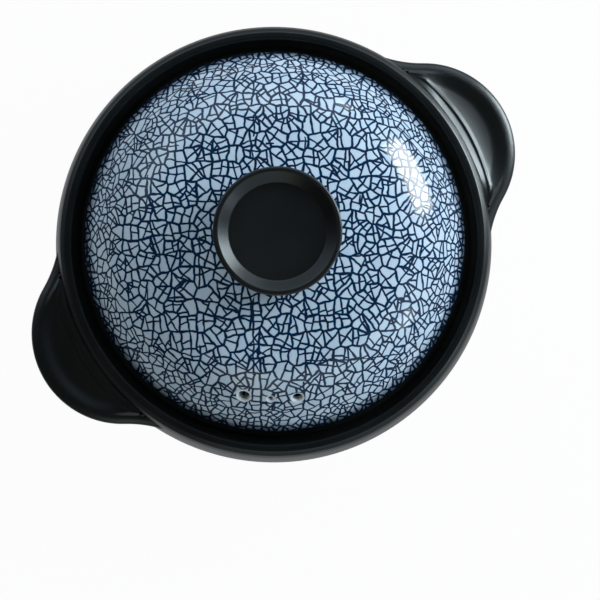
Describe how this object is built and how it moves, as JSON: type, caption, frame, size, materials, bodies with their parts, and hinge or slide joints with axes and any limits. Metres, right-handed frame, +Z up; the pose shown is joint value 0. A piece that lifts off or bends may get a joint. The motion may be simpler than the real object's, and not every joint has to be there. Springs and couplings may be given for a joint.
{
  "type": "clay casserole pot",
  "caption": "Round clay cooking pot with ear handles and a lift-off domed lid with a knob, steam holes and an ice-crackle glaze.",
  "frame": {"origin": "middle of the foot, on the surface that the pot stands on", "axes": "+Z up along the pot's axis, the two ear handles along +X and -X"},
  "size_m": [0.2654, 0.22, 0.1636],
  "materials": {
    "black_glaze": "satin black glaze",
    "crackle_glaze": "gloss pale blue glaze with navy crackle",
    "bare_clay": "bare fired clay"
  },
  "bodies": {
    "pot": {"pot_body": "black_glaze", "handle_right": "black_glaze", "handle_left": "black_glaze"},
    "lid_seat": {"lid_seat_ring": "bare_clay"},
    "lid": {"lid_dome": "crackle_glaze", "lid_knob": "black_glaze"}
  },
  "joints": [
    {"name": "lid_lift", "type": "slide", "parent": "pot", "child": "lid_seat", "axis": [0, 0, 1], "range_m": [0, 0.12]},
    {"name": "lid_turn", "type": "hinge", "parent": "lid_seat", "child": "lid", "pos_m": [0, 0, 0.1], "axis": [0, 0, 1], "continuous": true}
  ]
}
